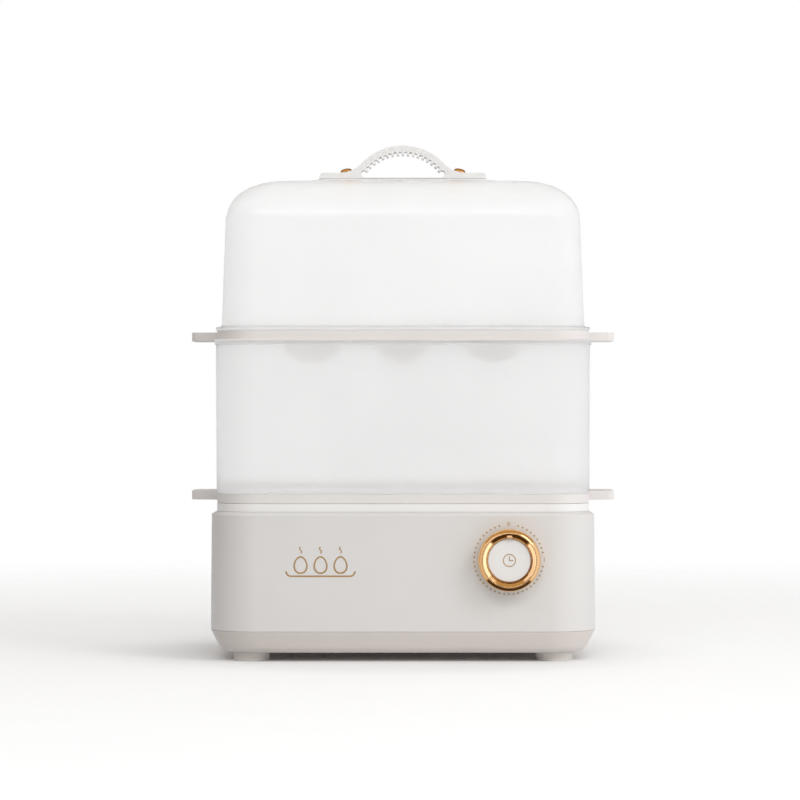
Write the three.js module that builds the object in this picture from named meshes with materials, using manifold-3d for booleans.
// Two-storey electric egg cooker: heated base with a clockwork timer, two egg trays, a steam
// tier between them and a domed lid with a strap handle. Millimetres, +Z up, front faces -Y.
// The origin is the middle of the footprint, on the table.

import * as THREE from 'three';
import { mergeVertices } from 'three/addons/utils/BufferGeometryUtils.js';
import Module from 'manifold-3d';

const wasm = await Module();
wasm.setup();

// ---------- driving dimensions ----------

const GAP = 0.3;
const WALL = 2.5;
const CLEAR_WALL = 2.0;
const SHEET = 1.2;

// Every storey has the same plan: one core rectangle, grown outwards by a different amount
const CORE_X = 77.5;
const CORE_Y = 52.5;
const CORNER_STEPS = 4;
const LEAST_CORNER = 14;

// Base
const BASE_HALF = 102.5;
const BASE_TOP_HALF = 102;
const HOUSING_BOTTOM = 16.2;
const HOUSING_EDGE = 77.6;
const DECK_HALF = 99.2;
const DECK_TOP = 79.1;
const COVER_UNDERSIDE = 4.2;
const COVER_LEAN = THREE.MathUtils.degToRad(27.5);
const COVER_ROUND = 5;
const FOOT = { x: 80.7, y: 56, radius: 9.9, recess: 4.2, recessTop: 2.2 };
const POST_RADIUS = 4.5;
const COLLAR_TOP = 83.4;
const FOOT_SCREW = { head: 3.5, headHeight: 1.5, shank: 1.5, length: 20 };
const COLLAR_SCREW = { x: 92, y: 38, head: 3, headHeight: 1.8, shank: 1.5, length: 5.3 };

// Water pan in the deck, and the heater under it
const PAN = { halfX: 76.8, halfY: 45.8, corner: 14.6, floor: 68, flangeTop: 82 };
const PAN_FLANGE = { halfX: 85, halfY: 54, corner: 19.7 };
const DECK_OPENING = { halfX: 79, halfY: 48, corner: 16 };
const HEATER_PLATE = { halfX: 56, halfY: 34, corner: 10, thickness: 3 };
const ELEMENT_RADIUS = 3.2;

// Timer and knob, on one axis that runs front to back
const KNOB = { x: 55.6, z: 54.3, radius: 16.5, crest: 14, height: 13 };
const DISC = { radius: 10.8, height: 10.2 };
const KNOB_CAVITY = { radius: 15, top: 3.2 };
const SHAFT_RADIUS = 3;
const TIMER = { side: 38, depth: 22 };
const TIMER_SCREW = { reach: 11.5, head: 2.6, headHeight: 1.6, shank: 1.4, length: 9 };

// Cord outlet in the back wall
const GLAND = { x: -60, z: 30, proud: 10, bore: 3.6, neck: 6.2 };

// Egg trays, steam tier and lid
const TRAY_HALF = 99.1;
const LOWER_TRAY = 84;
const UPPER_TRAY = 169.3;
const TRAY_PLATE = 2;
const CUP = { pitch: 50, mouth: 14, depth: 9.2, wall: 1.8, drain: 1.9 };
const EAR = { reach: 115.2, rootHalf: 19.5, tipHalf: 16.5, corner: 5, height: 4.8, upperLift: 0.9 };
const TIER = { bottom: 88.5, lipBottom: 167.7, top: 170.3, bottomHalf: 99.4, topHalf: 99.8, lipHalf: 100.6 };
const LID = {
  flange: 175.3,
  flangeTop: 177,
  flangeHalf: 99.8,
  wallHalf: 96.6,
  wallStart: 180.6,
  shoulderHalf: 94.6,
  shoulder: 233.1,
  roundX: 28,
  roundZ: 22.8,
  crown: 257.5,
  crownHalf: 48.6,
};

// Strap handle on the lid
const HANDLE = { width: 11, halfLength: 45.9, bottom: 259.6, padTop: 262.9, floor: 260.2 };
const ARCH = { centreZ: 246.8, radius: 31, rootRadius: 27.5, toothHeight: 1.7, flare: 16 };
const TEETH = { count: 17, pitch: THREE.MathUtils.degToRad(6.1) };
const HANDLE_SCREW = { x: 31, z: 263, head: 3.5, headHeight: 2.4, shank: 1.8, length: 11.5 };
const SCREW_LEAN = THREE.MathUtils.degToRad(11);
const HANDLE_BORE = 2.2;

// ---------- materials ----------

const finish = (color, roughness, metalness = 0) =>
  new THREE.MeshStandardMaterial({ color, roughness, metalness });

const WARM_WHITE = finish('#dddbd9', 0.45);
const WARM_GREY = finish('#c4beb8', 0.5);
const TRAY_GREY = finish('#dedad7', 0.5);
const FROSTED = finish('#eeeeee', 0.35);
const HANDLE_WHITE = finish('#e9e5e4', 0.45);
const GOLD = finish('#c9974a', 0.2, 1);
const STEEL = finish('#b9bbbd', 0.3, 1);
const RUBBER = finish('#d2cecb', 0.8);
const BLACK = finish('#2b2b2d', 0.5);
const COPPER_RED = finish('#9b3f34', 0.6);

// ---------- closed shapes and booleans ----------

// Rounded rectangle at one height, counter-clockwise seen from above
function outline({ halfX, halfY, corner }, z) {
  const ring = [];
  for (let quarter = 0; quarter < 4; quarter += 1) {
    const centreX = (halfX - corner) * (quarter === 0 || quarter === 3 ? 1 : -1);
    const centreY = (halfY - corner) * (quarter < 2 ? 1 : -1);
    for (let step = 0; step <= CORNER_STEPS; step += 1) {
      const angle = (quarter + step / CORNER_STEPS) * Math.PI / 2;
      const x = centreX + corner * Math.cos(angle);
      const y = centreY + corner * Math.sin(angle);
      ring.push(new THREE.Vector3(x, y, z));
    }
  }
  return ring;
}

// The common plan at a given half width
function storey(half, z) {
  const corner = Math.max(half - CORE_X, LEAST_CORNER);
  return outline({ halfX: half, halfY: half - CORE_X + CORE_Y, corner }, z);
}

function grown({ halfX, halfY, corner }, by) {
  return { halfX: halfX + by, halfY: halfY + by, corner: corner + by };
}

// Skin through a list of rings: the first cap faces down and the last one up,
// or the last ring runs back into the first
function loft(rings, closesOnItself = false) {
  const count = rings[0].length;
  const triangles = [];
  const bands = closesOnItself ? rings.length : rings.length - 1;
  for (let band = 0; band < bands; band += 1) {
    const here = band * count;
    const there = ((band + 1) % rings.length) * count;
    for (let k = 0; k < count; k += 1) {
      const next = (k + 1) % count;
      triangles.push(here + k, here + next, there + next);
      triangles.push(here + k, there + next, there + k);
    }
  }
  if (!closesOnItself) {
    const last = (rings.length - 1) * count;
    for (let k = 1; k < count - 1; k += 1) {
      triangles.push(0, k + 1, k);
      triangles.push(last, last + k, last + k + 1);
    }
  }
  const geometry = new THREE.BufferGeometry().setFromPoints(rings.flat());
  geometry.setIndex(triangles);
  return geometry;
}

const slab = (plan, bottom, top) => loft([outline(plan, bottom), outline(plan, top)]);

// Solid of revolution about +Z from [radius, height] points
function turned(profile, segments = 16) {
  const points = profile.map(([radius, height]) => new THREE.Vector2(radius, height));
  return new THREE.LatheGeometry(points, segments).rotateX(Math.PI / 2);
}

// The same for a ring, whose profile runs back to its first point
const turnedRing = (profile, segments) => turned([...profile, profile[0]], segments);

const upright = (x, y, radius, bottom, top, sides = 12) =>
  turned([[0, bottom], [radius, bottom], [radius, top], [0, top]], sides).translate(x, y, 0);

const block = (width, depth, height, x, y, z) =>
  new THREE.BoxGeometry(width, depth, height).translate(x, y, z);

function toSolid(geometry) {
  const bare = geometry.clone();
  bare.deleteAttribute('normal');
  bare.deleteAttribute('uv');
  const merged = mergeVertices(bare, 1e-4);
  const corners = merged.index.array;
  const triVerts = [];
  for (let k = 0; k < corners.length; k += 3) {
    const [a, b, c] = corners.slice(k, k + 3);
    if (a !== b && b !== c && c !== a) {
      triVerts.push(a, b, c);
    }
  }
  return new wasm.Manifold(new wasm.Mesh({
    numProp: 3,
    vertProperties: new Float32Array(merged.attributes.position.array),
    triVerts: new Uint32Array(triVerts),
  }));
}

function toGeometry(solid) {
  const mesh = solid.getMesh();
  const geometry = new THREE.BufferGeometry();
  geometry.setAttribute('position', new THREE.BufferAttribute(mesh.vertProperties, 3));
  geometry.setIndex(new THREE.BufferAttribute(mesh.triVerts, 1));
  return geometry;
}

function join(...geometries) {
  return toGeometry(geometries.map(toSolid).reduce((whole, next) => whole.add(next)));
}

function cut(geometry, ...tools) {
  return toGeometry(tools.map(toSolid).reduce((rest, tool) => rest.subtract(tool), toSolid(geometry)));
}

// Calls make(signX, signY, name) for the four corners of the plan
function atCorners(make) {
  return [
    make(-1, -1, 'front_left'),
    make(1, -1, 'front_right'),
    make(-1, 1, 'rear_left'),
    make(1, 1, 'rear_right'),
  ];
}

function piece(name, geometry, material) {
  const mesh = new THREE.Mesh(geometry, material);
  mesh.name = name;
  return mesh;
}

// Dome-headed screw with its head's underside at the origin and its shank down -Z
function screw({ head, headHeight, shank, length }) {
  return turned([
    [0, -length],
    [shank * 0.6, -length],
    [shank, -length + shank],
    [shank, 0],
    [head, 0],
    [head, headHeight * 0.45],
    [head * 0.7, headHeight],
    [0, headHeight],
  ], 10);
}

// Bar of a few flat sides along a smooth line through some points
function barAlong(points, radius, sides, steps) {
  const section = new THREE.Shape();
  for (let k = 0; k < sides; k += 1) {
    const angle = k / sides * Math.PI * 2;
    const corner = [radius * Math.cos(angle), radius * Math.sin(angle)];
    if (k === 0) {
      section.moveTo(...corner);
    } else {
      section.lineTo(...corner);
    }
  }
  section.closePath();
  const route = new THREE.CatmullRomCurve3(points.map((point) => new THREE.Vector3(...point)));
  return new THREE.ExtrudeGeometry(section, { steps, bevelEnabled: false, extrudePath: route });
}

// ---------- base: housing, cover, feet ----------

// The walls lean in slightly towards the top
function housingFace(z) {
  const rise = (z - HOUSING_BOTTOM) / (HOUSING_EDGE - HOUSING_BOTTOM);
  return CORE_Y + THREE.MathUtils.lerp(BASE_HALF, BASE_TOP_HALF, rise) - CORE_X;
}

// Bore along Y through the front (side -1) or back (side 1) wall
function wallBore(x, z, radius, side) {
  return upright(0, 0, radius, -2 * WALL, 2 * WALL, 16)
    .rotateX(-Math.PI / 2)
    .translate(x, side * housingFace(z), z);
}

function baseHousing() {
  const edge = 0.6;
  const shell = loft([
    storey(BASE_TOP_HALF - WALL, DECK_TOP - WALL),
    storey(BASE_HALF - WALL, HOUSING_BOTTOM),
    storey(BASE_HALF, HOUSING_BOTTOM),
    storey(BASE_TOP_HALF, HOUSING_EDGE - edge),
    storey(BASE_TOP_HALF - edge, HOUSING_EDGE),
    storey(DECK_HALF, DECK_TOP),
  ]);
  const postBottom = COVER_UNDERSIDE + WALL + GAP;
  const posts = atCorners((sx, sy) =>
    upright(sx * FOOT.x, sy * FOOT.y, POST_RADIUS, postBottom, DECK_TOP - WALL / 2));
  const postBores = atCorners((sx, sy) =>
    upright(sx * FOOT.x, sy * FOOT.y, 1.8, postBottom - 1, 26, 10));
  const collarBores = atCorners((sx, sy) =>
    upright(sx * COLLAR_SCREW.x, sy * COLLAR_SCREW.y, 1.8, DECK_TOP - WALL - 1, DECK_TOP + 1, 10));
  return cut(
    join(shell, ...posts),
    slab(DECK_OPENING, DECK_TOP - WALL - 1, DECK_TOP + 1),
    ...postBores,
    ...collarBores,
    wallBore(KNOB.x, KNOB.z, SHAFT_RADIUS + 1.2, -1),
    wallBore(KNOB.x - TIMER_SCREW.reach, KNOB.z, 1.8, -1),
    wallBore(KNOB.x + TIMER_SCREW.reach, KNOB.z, 1.8, -1),
    wallBore(GLAND.x, GLAND.z, GLAND.neck + GAP, 1),
  );
}

function bottomCover() {
  const rim = HOUSING_BOTTOM - GAP;
  const roundZ = COVER_UNDERSIDE + COVER_ROUND;
  const roundEndZ = roundZ - COVER_ROUND * Math.sin(COVER_LEAN);
  const roundEndHalf = BASE_HALF - (HOUSING_BOTTOM - roundEndZ) * Math.tan(COVER_LEAN);
  const roundHalf = roundEndHalf - COVER_ROUND * Math.cos(COVER_LEAN);
  const steps = 4;
  const outside = [];
  for (let step = 0; step <= steps; step += 1) {
    const angle = (Math.PI / 2 - COVER_LEAN) * step / steps;
    const half = roundHalf + COVER_ROUND * Math.sin(angle);
    outside.push(storey(half, roundZ - COVER_ROUND * Math.cos(angle)));
  }
  const spigot = BASE_HALF - WALL - GAP;
  const shell = loft([
    ...outside,
    storey(BASE_HALF - GAP * Math.tan(COVER_LEAN), rim),
    storey(spigot, rim),
    storey(spigot, rim + 3),
    storey(spigot - 2, rim + 3),
    storey(spigot - 2.4, rim - 0.5),
    storey(roundEndHalf - 3.2, roundZ),
    storey(roundHalf - 2, COVER_UNDERSIDE + WALL),
  ]);
  const screwHoles = atCorners((sx, sy) =>
    upright(sx * FOOT.x, sy * FOOT.y, 2, 0, COVER_UNDERSIDE + 2 * WALL, 10));
  const vents = [];
  for (let k = -3; k <= 3; k += 1) {
    vents.push(block(3, 26, 4 * WALL, k * 9, 0, COVER_UNDERSIDE));
  }
  return cut(shell, ...screwHoles, ...vents);
}

// Ring-shaped rubber foot, hollowed from below for the head of its screw
function foot() {
  const { radius, recess, recessTop } = FOOT;
  const top = COVER_UNDERSIDE - GAP;
  return turnedRing([
    [recess, 0],
    [radius - 1.4, 0],
    [radius - 0.5, 0.5],
    [radius - 0.2, 2.2],
    [radius, 2.5],
    [radius, top],
    [1.9, top],
    [1.9, recessTop],
    [recess, recessTop],
  ]);
}

function topCollar() {
  const inner = grown(PAN_FLANGE, GAP);
  const lip = { halfX: 80, halfY: 49, corner: 17 };
  const bottom = DECK_TOP + GAP;
  const edge = 0.5;
  const ring = loft([
    outline(inner, bottom),
    storey(DECK_HALF, bottom),
    storey(DECK_HALF, COLLAR_TOP - edge),
    storey(DECK_HALF - edge, COLLAR_TOP),
    outline(lip, COLLAR_TOP),
    outline(lip, PAN.flangeTop + GAP),
    outline(inner, PAN.flangeTop + GAP),
  ], true);
  const bores = atCorners((sx, sy) =>
    upright(sx * COLLAR_SCREW.x, sy * COLLAR_SCREW.y, 1.8, bottom - 1, bottom + 3, 10));
  return cut(ring, ...bores);
}

// ---------- water pan and heater ----------

function waterPan() {
  const bottom = PAN.floor - SHEET;
  const flangeBottom = PAN.flangeTop - SHEET;
  return loft([
    outline(grown(PAN, -4), bottom),
    outline(grown(PAN, -1.4), bottom + 2),
    outline(grown(PAN, 0.8), flangeBottom),
    outline(PAN_FLANGE, flangeBottom),
    outline(PAN_FLANGE, PAN.flangeTop),
    outline(PAN, PAN.flangeTop),
    outline(grown(PAN, -0.8), flangeBottom),
    outline(grown(PAN, -2.6), PAN.floor + 1.6),
    outline(grown(PAN, -4.6), PAN.floor),
  ]);
}

// Silicone ring that keeps water from running under the pan's flange
function panSeal() {
  const outer = grown(PAN_FLANGE, -0.4);
  const inner = grown(DECK_OPENING, 0.5);
  const bottom = DECK_TOP + GAP;
  const top = PAN.flangeTop - SHEET - GAP;
  return loft([
    outline(inner, bottom),
    outline(outer, bottom),
    outline(outer, top),
    outline(inner, top),
  ], true);
}

const HEATER_TOP = PAN.floor - SHEET - GAP;
const HEATER_BOTTOM = HEATER_TOP - HEATER_PLATE.thickness;
const ELEMENT_Z = HEATER_BOTTOM - 2 * GAP - ELEMENT_RADIUS;

// Tubular element in a flat loop, with both ends turned down on the right
function heatingElement() {
  const halfLoop = [
    [63, 8, -9],
    [60, 8, -3.5],
    [54, 10, -0.6],
    [46, 16, 0],
    [36, 23, 0],
    [0, 24, 0],
    [-36, 23, 0],
  ];
  const mirrored = halfLoop.map(([x, y, drop]) => [x, -y, drop]).reverse();
  const route = [...halfLoop, [-46, 0, 0], ...mirrored];
  return barAlong(route.map(([x, y, drop]) => [x, y, ELEMENT_Z + drop]), ELEMENT_RADIUS, 6, 34);
}

// Snap disc in a flanged can, clamped under the heater plate
function thermostat() {
  const top = HEATER_BOTTOM - GAP;
  return turned([
    [0, top - 9],
    [5, top - 9],
    [5, top - 6],
    [8, top - 6],
    [8, top - 1.2],
    [9.5, top - 1.2],
    [9.5, top],
    [0, top],
  ]);
}

function thermalFuse() {
  return turned([[0, -7], [1.2, -7], [2, -5.5], [2, 5.5], [1.2, 7], [0, 7]], 8)
    .rotateY(Math.PI / 2)
    .translate(0, 13.5, HEATER_BOTTOM - GAP - 2);
}

function terminalBlock() {
  const body = block(28, 16, 12, -55, 40, COVER_UNDERSIDE + WALL + GAP + 6);
  const entries = [-8, 0, 8].flatMap((dx) => [
    upright(0, 0, 1.9, 0, 10, 8).rotateX(-Math.PI / 2).translate(-55 + dx, 28, 13),
    upright(-55 + dx, 36, 2.2, 15, 25, 8),
  ]);
  return cut(body, ...entries);
}

// Rubber bush in the back wall, built about +Z with the wall's outer face at zero
function cordGland() {
  const { bore, neck, proud } = GLAND;
  return turnedRing([
    [bore, -WALL - GAP - 2.5],
    [8, -WALL - GAP - 2.5],
    [8, -WALL - GAP],
    [neck, -WALL - GAP],
    [neck, GAP],
    [8.4, GAP],
    [8.4, 2],
    [7.6, 2.8],
    [6.4, 3.2],
    [5.4, proud - 0.6],
    [4.8, proud],
    [bore, proud],
  ]);
}

// ---------- timer and knob, built about +Z with the panel's outer face at zero ----------

function timerBody() {
  const front = -WALL - GAP;
  const box = block(TIMER.side, TIMER.side, TIMER.depth, 0, 0, front - TIMER.depth / 2);
  const bores = [-TIMER_SCREW.reach, TIMER_SCREW.reach].map((x) => upright(x, 0, 1.8, front - 8, 1, 10));
  return cut(box, upright(0, 0, SHAFT_RADIUS + GAP, front - 9, 1), ...bores);
}

// Pressed dome that the striker rings at the end of the time
function timerBell() {
  const top = -WALL - 2 * GAP - TIMER.depth;
  return turned([
    [0, top - 9],
    [7, top - 8.4],
    [10.4, top - 6],
    [11.5, top - 2],
    [11.5, top],
    [10.5, top],
    [10.5, top - 2],
    [9.4, top - 5.3],
    [6.4, top - 7.3],
    [0, top - 8],
  ]);
}

const timerShaft = () => upright(0, 0, SHAFT_RADIUS, -WALL - 8, DISC.height - 2.5, 16);

// Plated outer ring with a dished inner rim and a pointer block on the dish
function knobRing() {
  const { radius, crest, height } = KNOB;
  const inner = DISC.radius + GAP;
  const ring = turnedRing([
    [KNOB_CAVITY.radius, 0.9],
    [radius, 0.9],
    [radius, 2],
    [radius - 0.5, 7],
    [radius - 1.1, 11],
    [crest + 0.5, height - 0.5],
    [crest, height],
    [crest - 0.5, height - 0.3],
    [inner + 0.6, height - 2.6],
    [inner, height - 3.2],
    [inner, KNOB_CAVITY.top],
    [KNOB_CAVITY.radius, KNOB_CAVITY.top],
  ], 28);
  const pointer = block(2.8, crest - inner - 0.2, 5, 0, (crest + inner) / 2 - 0.1, height - 3);
  return join(ring, pointer);
}

// White disc that fills the ring and grips the shaft
function knobDisc() {
  const back = KNOB_CAVITY.top + GAP;
  const boreTop = DISC.height - 2.2;
  return turned([
    [0, boreTop],
    [SHAFT_RADIUS + GAP, boreTop],
    [SHAFT_RADIUS + GAP, back],
    [DISC.radius, back],
    [DISC.radius, DISC.height - 0.3],
    [DISC.radius - 0.3, DISC.height],
    [0, DISC.height],
  ], 24);
}

// ---------- egg trays ----------

// Inside and outside of a cup share one centre above the plate
function cupBall(radius, centreZ, top, x, y) {
  const steps = 3;
  const reach = Math.acos((centreZ - top) / radius);
  const profile = [];
  for (let step = 0; step <= steps; step += 1) {
    const angle = reach * step / steps;
    profile.push([radius * Math.sin(angle), centreZ - radius * Math.cos(angle)]);
  }
  profile.push([0, top]);
  return turned(profile, 12).translate(x, y, 0);
}

function atCups(make) {
  return [-1, 0, 1].flatMap((column) => [-0.5, 0.5].map((row) => make(column * CUP.pitch, row * CUP.pitch)));
}

function steamSlot(length, x, y, turn, plateTop) {
  const width = 3.6;
  const shape = new THREE.Shape();
  shape.absarc(length / 2, 0, width / 2, -Math.PI / 2, Math.PI / 2);
  shape.absarc(-length / 2, 0, width / 2, Math.PI / 2, Math.PI * 1.5);
  const depth = TRAY_PLATE + 2;
  return new THREE.ExtrudeGeometry(shape, { depth, bevelEnabled: false, curveSegments: 3 })
    .rotateZ(turn)
    .translate(x, y, plateTop - depth + 1);
}

// Finger tab on the tray's side wall, a little narrower at its tip, with round corners
function ear(side, bottom) {
  const { reach, rootHalf, tipHalf, corner, height } = EAR;
  const root = TRAY_HALF - 2;
  const shape = new THREE.Shape();
  shape.moveTo(root, -rootHalf);
  shape.lineTo(reach - corner, -tipHalf);
  shape.absarc(reach - corner, -tipHalf + corner, corner, -Math.PI / 2, 0);
  shape.absarc(reach - corner, tipHalf - corner, corner, 0, Math.PI / 2);
  shape.lineTo(root, rootHalf);
  shape.closePath();
  return new THREE.ExtrudeGeometry(shape, { depth: height, bevelEnabled: false, curveSegments: 5 })
    .rotateZ(side < 0 ? Math.PI : 0)
    .translate(0, 0, bottom);
}

// Plate with six cups, slots that let the steam rise, a rim and two ears.
// rimRings runs from the top of the outer wall, over the rim, to the foot of the inner wall.
// The ears stand on earBottom, and earRelief is cut out of them.
function eggTray(bottom, rimRings, earBottom, earRelief) {
  const plateBottom = bottom + 0.5;
  const plateTop = plateBottom + TRAY_PLATE;
  const skirt = 3.5;
  const dish = loft([
    storey(TRAY_HALF - skirt - 0.6, plateBottom),
    storey(TRAY_HALF - skirt, bottom),
    storey(TRAY_HALF - 0.3, bottom),
    storey(TRAY_HALF, bottom + 0.3),
    ...rimRings,
    storey(TRAY_HALF - skirt - 1.6, plateTop),
  ]);
  const ears = [-1, 1].map((side) => cut(ear(side, earBottom), earRelief));
  const innerRadius = (CUP.mouth ** 2 + CUP.depth ** 2) / (2 * CUP.depth);
  const centreZ = plateTop - CUP.depth + innerRadius;
  const cups = atCups((x, y) => cupBall(innerRadius + CUP.wall, centreZ, plateTop - 0.5, x, y));
  const hollows = atCups((x, y) => cupBall(innerRadius, centreZ, plateTop + 1, x, y));
  const drains = atCups((x, y) => upright(x, y, CUP.drain, bottom - 12, bottom, 6));
  const between = CUP.pitch / 2;
  const slots = [
    ...[-CUP.pitch, 0, CUP.pitch].map((x) => steamSlot(18, x, 0, 0, plateTop)),
    ...[-between, between].flatMap((x) =>
      [-between, between].map((y) => steamSlot(16, x, y, Math.PI / 2, plateTop))),
  ];
  return cut(join(dish, ...ears, ...cups), ...hollows, ...drains, ...slots);
}

// The tier stands in a rebate round the lower tray's rim, outside an upstand
function lowerTray() {
  const seat = TIER.bottom - GAP;
  const upstand = TIER.bottomHalf - CLEAR_WALL - GAP;
  const upstandTop = seat + 3.4;
  const rim = [
    storey(TRAY_HALF, seat - 0.3),
    storey(TRAY_HALF - 0.3, seat),
    storey(upstand, seat),
    storey(upstand, upstandTop - 0.3),
    storey(upstand - 0.4, upstandTop),
    storey(upstand - 2, upstandTop),
    storey(upstand - 2, LOWER_TRAY + 3.5),
  ];
  const clearOfTier = TIER.bottomHalf + 2 * GAP;
  const relief = loft([storey(clearOfTier, seat), storey(clearOfTier, seat + 10)]);
  return eggTray(LOWER_TRAY, rim, LOWER_TRAY, relief);
}

// The upper tray sits inside the tier's lip and carries the lid on its rim
function upperTray() {
  const rimTop = LID.flange - GAP;
  const inner = TRAY_HALF - 3.2;
  const rim = [
    storey(TRAY_HALF, rimTop - 0.3),
    storey(TRAY_HALF - 0.3, rimTop),
    storey(inner + 0.3, rimTop),
    storey(inner, rimTop - 0.3),
    storey(inner, UPPER_TRAY + 3.4),
  ];
  const clearOfLip = TIER.lipHalf + GAP;
  const relief = loft([storey(clearOfLip, UPPER_TRAY - 1), storey(clearOfLip, TIER.top + GAP)]);
  return eggTray(UPPER_TRAY, rim, UPPER_TRAY + EAR.upperLift, relief);
}

// ---------- steam tier and lid ----------

function tierWall() {
  const ledge = UPPER_TRAY - GAP;
  const seat = TRAY_HALF + GAP;
  return loft([
    storey(TIER.bottomHalf - CLEAR_WALL, TIER.bottom),
    storey(TIER.bottomHalf, TIER.bottom),
    storey(TIER.topHalf, TIER.lipBottom - 0.6),
    storey(TIER.lipHalf - 0.3, TIER.lipBottom),
    storey(TIER.lipHalf, TIER.lipBottom + 0.5),
    storey(TIER.lipHalf, TIER.top - 0.4),
    storey(TIER.lipHalf - 0.4, TIER.top),
    storey(seat, TIER.top),
    storey(seat, ledge),
    storey(TIER.topHalf - CLEAR_WALL, ledge),
  ], true);
}

// Quarter ellipse between wall and top, from the side (0) to the top (1)
function lidRound(offset, steps) {
  const centreHalf = LID.shoulderHalf - LID.roundX;
  const rings = [];
  for (let step = 0; step <= steps; step += 1) {
    const angle = Math.PI / 2 * step / steps;
    const half = centreHalf + (LID.roundX - offset) * Math.cos(angle);
    rings.push(storey(half, LID.shoulder + (LID.roundZ - offset) * Math.sin(angle)));
  }
  return rings;
}

function lidShell() {
  const spigot = TRAY_HALF - 3.2 - GAP;
  const spigotBottom = LID.flange - 2.1;
  const roundSteps = 5;
  const shell = loft([
    storey(LID.crownHalf, LID.crown - CLEAR_WALL),
    ...lidRound(CLEAR_WALL, roundSteps).reverse(),
    storey(LID.wallHalf - CLEAR_WALL, LID.wallStart),
    storey(spigot - 1.8, LID.flange),
    storey(spigot - 1.8, spigotBottom),
    storey(spigot, spigotBottom),
    storey(spigot, LID.flange),
    storey(LID.flangeHalf - 0.3, LID.flange),
    storey(LID.flangeHalf, LID.flange + 0.5),
    storey(LID.flangeHalf - 0.2, LID.flangeTop),
    storey(LID.wallHalf + 0.9, LID.flangeTop + 0.4),
    storey(LID.wallHalf, LID.wallStart),
    ...lidRound(0, roundSteps),
    storey(LID.crownHalf, LID.crown),
  ]);
  const steamHoles = [-1, 1].map((side) => upright(0, side * 22, 1.9, LID.crown - 10, LID.crown + 10, 10));
  return cut(shell, ...steamHoles, ...handleBores());
}

// ---------- handle ----------

// Both handle screws lean outwards at their heads, square to the flare they sit on
function leaning(geometry, side) {
  return geometry
    .rotateY(side * SCREW_LEAN)
    .translate(side * HANDLE_SCREW.x, 0, HANDLE_SCREW.z);
}

const handleBores = () => [-1, 1].map((side) => leaning(upright(0, 0, HANDLE_BORE, -20, 5, 12), side));

// Side view of the strap: flat pads, flared into an arch with a ribbed underside
function handleSideView() {
  const { halfLength, bottom, padTop, floor } = HANDLE;
  const { centreZ, radius, rootRadius, toothHeight, flare } = ARCH;
  const flareZ = padTop + flare;
  const flareX = Math.sqrt((radius + flare) ** 2 - (flareZ - centreZ) ** 2);
  const meet = Math.atan2(flareZ - centreZ, flareX);
  const endRound = 1.6;
  const shape = new THREE.Shape();
  shape.moveTo(-halfLength, bottom);
  shape.lineTo(halfLength, bottom);
  shape.lineTo(halfLength - 0.4, padTop - endRound);
  shape.absarc(halfLength - 0.4 - endRound, padTop - endRound, endRound, 0, Math.PI / 2);
  shape.absarc(flareX, flareZ, flare, -Math.PI / 2, meet - Math.PI, true);
  shape.absarc(0, centreZ, radius, meet, Math.PI - meet);
  shape.absarc(-flareX, flareZ, flare, -meet, -Math.PI / 2, true);
  shape.absarc(-halfLength + 0.4 + endRound, padTop - endRound, endRound, Math.PI / 2, Math.PI);
  shape.closePath();

  const opening = new THREE.Path();
  const sideRound = 2.3;
  const sideX = 20.7;
  opening.moveTo(-sideX, floor);
  opening.lineTo(sideX, floor);
  opening.absarc(sideX, floor + sideRound, sideRound, -Math.PI / 2, 0.6);
  for (let tooth = 0; tooth < TEETH.count; tooth += 1) {
    const middle = Math.PI / 2 - (TEETH.count - 1) / 2 * TEETH.pitch + tooth * TEETH.pitch;
    const half = TEETH.pitch / 4;
    for (const [angle, reach] of [
      [middle - half, rootRadius],
      [middle - half, rootRadius - toothHeight],
      [middle + half, rootRadius - toothHeight],
      [middle + half, rootRadius],
    ]) {
      opening.lineTo(reach * Math.cos(angle), centreZ + reach * Math.sin(angle));
    }
  }
  opening.absarc(-sideX, floor + sideRound, sideRound, Math.PI - 0.6, Math.PI * 1.5);
  shape.holes.push(opening);
  return shape;
}

function lidHandle() {
  const strap = new THREE.ExtrudeGeometry(handleSideView(), {
    depth: HANDLE.width,
    bevelEnabled: false,
    curveSegments: 7,
  }).rotateX(Math.PI / 2).translate(0, HANDLE.width / 2, 0);
  const pockets = [-1, 1].map((side) => leaning(upright(0, 0, HANDLE_SCREW.head + 0.4, -GAP, 5, 16), side));
  return cut(strap, ...pockets, ...handleBores());
}

function handlePad() {
  const plan = { halfX: 47, halfY: HANDLE.width / 2 + 1.3, corner: 5 };
  return cut(slab(plan, LID.crown + GAP, HANDLE.bottom - GAP), ...handleBores());
}

function handleScrew(side) {
  return leaning(screw(HANDLE_SCREW), side);
}

// Closed hexagon nut under the lid, on the screw's own axis
function handleNut(side) {
  return leaning(cut(upright(0, 0, 3.9, -13, -9, 6), upright(0, 0, HANDLE_BORE, -12, -5, 10)), side);
}

// ---------- assembly ----------

function mountedAt(x, y, z, turnX, ...meshes) {
  const group = new THREE.Group();
  group.position.set(x, y, z);
  group.rotation.x = turnX;
  group.add(...meshes);
  return group;
}

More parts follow.
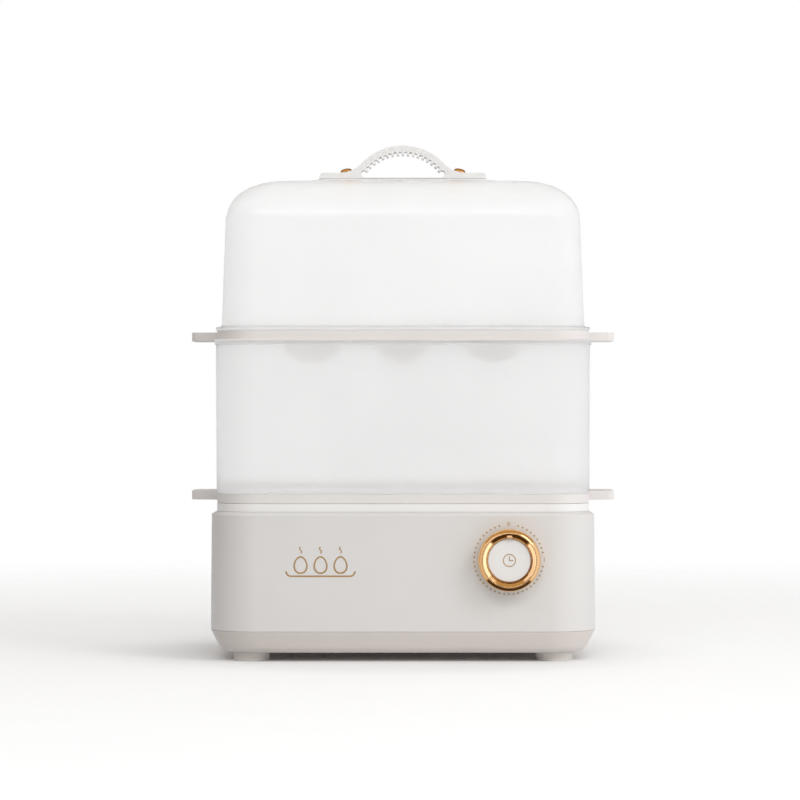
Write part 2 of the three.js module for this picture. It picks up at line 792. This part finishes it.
function baseGroup() {
  const group = new THREE.Group();
  group.add(
    piece('base_housing', baseHousing(), WARM_WHITE),
    piece('bottom_cover', bottomCover(), WARM_GREY),
    piece('top_collar', topCollar(), FROSTED),
    piece('water_pan', waterPan(), STEEL),
    piece('pan_seal', panSeal(), COPPER_RED),
    piece('heater_plate', slab(HEATER_PLATE, HEATER_BOTTOM, HEATER_TOP), STEEL),
    piece('heating_element', heatingElement(), BLACK),
    piece('thermostat', thermostat(), STEEL),
    piece('thermal_fuse', thermalFuse(), BLACK),
    piece('terminal_block', terminalBlock(), BLACK),
  );
  atCorners((sx, sy, name) => {
    const rubberFoot = piece(`foot_${name}`, foot(), RUBBER);
    rubberFoot.position.set(sx * FOOT.x, sy * FOOT.y, 0);
    const footScrew = piece(`foot_screw_${name}`, screw(FOOT_SCREW), STEEL);
    footScrew.position.set(sx * FOOT.x, sy * FOOT.y, FOOT.recessTop - GAP);
    footScrew.rotation.x = Math.PI;
    const collarScrew = piece(`collar_screw_${name}`, screw(COLLAR_SCREW), STEEL);
    collarScrew.position.set(sx * COLLAR_SCREW.x, sy * COLLAR_SCREW.y, DECK_TOP - WALL - GAP);
    collarScrew.rotation.x = Math.PI;
    group.add(rubberFoot, footScrew, collarScrew);
  });
  return group;
}

// Insulated leads inside the base, from terminals to timer, fuse and element
function wiring() {
  const wire = 1.1;
  const terminalZ = 13;
  const timerZ = KNOB.z - TIMER.side / 2 - GAP;
  const elementEnd = ELEMENT_Z - 11;
  const fuseZ = HEATER_BOTTOM - GAP - 2;
  const routes = {
    wire_live: [
      [-47, 34, terminalZ],
      [-46, 22, 16],
      [0, -30, 18],
      [40, -58, 20],
      [49, -65, 28],
      [49, -65, timerZ],
    ],
    wire_switched: [[61, -62, timerZ], [61, -60, 27], [68, -40, 26], [68, -14, 40], [64, -8, elementEnd]],
    wire_neutral: [[-63, 34, terminalZ], [-62, 22, 18], [-40, 8, 40], [-18, 13, 56], [-8, 13.5, fuseZ]],
    wire_heater: [[8, 13.5, fuseZ], [18, 12, 54], [44, 10, 46], [60, 9, 48], [64, 8, elementEnd]],
  };
  return Object.entries(routes).map(([name, points]) =>
    piece(name, barAlong(points, wire, 5, 14), COPPER_RED));
}

function controlGroup() {
  const timerScrews = [['left', -1], ['right', 1]].map(([name, side]) => {
    const mesh = piece(`timer_screw_${name}`, screw(TIMER_SCREW), STEEL);
    mesh.position.set(side * TIMER_SCREW.reach, 0, GAP);
    return mesh;
  });
  return mountedAt(
    KNOB.x, -housingFace(KNOB.z), KNOB.z, Math.PI / 2,
    piece('timer_body', timerBody(), FROSTED),
    piece('timer_bell', timerBell(), STEEL),
    ...timerScrews,
    piece('timer_shaft', timerShaft(), STEEL),
    piece('knob_ring', knobRing(), GOLD),
    piece('knob_disc', knobDisc(), WARM_WHITE),
  );
}

function lidGroup() {
  const group = new THREE.Group();
  group.add(
    piece('lid_shell', lidShell(), FROSTED),
    piece('handle_pad', handlePad(), FROSTED),
    piece('lid_handle', lidHandle(), HANDLE_WHITE),
  );
  for (const [name, side] of [['left', -1], ['right', 1]]) {
    group.add(piece(`handle_screw_${name}`, handleScrew(side), GOLD));
    group.add(piece(`handle_nut_${name}`, handleNut(side), GOLD));
  }
  return group;
}

const eggCooker = new THREE.Group();
eggCooker.add(
  baseGroup(),
  ...wiring(),
  controlGroup(),
  mountedAt(GLAND.x, housingFace(GLAND.z), GLAND.z, -Math.PI / 2, piece('cord_gland', cordGland(), RUBBER)),
  piece('lower_tray', lowerTray(), TRAY_GREY),
  piece('tier_wall', tierWall(), FROSTED),
  piece('upper_tray', upperTray(), TRAY_GREY),
  lidGroup(),
);

export default eggCooker;
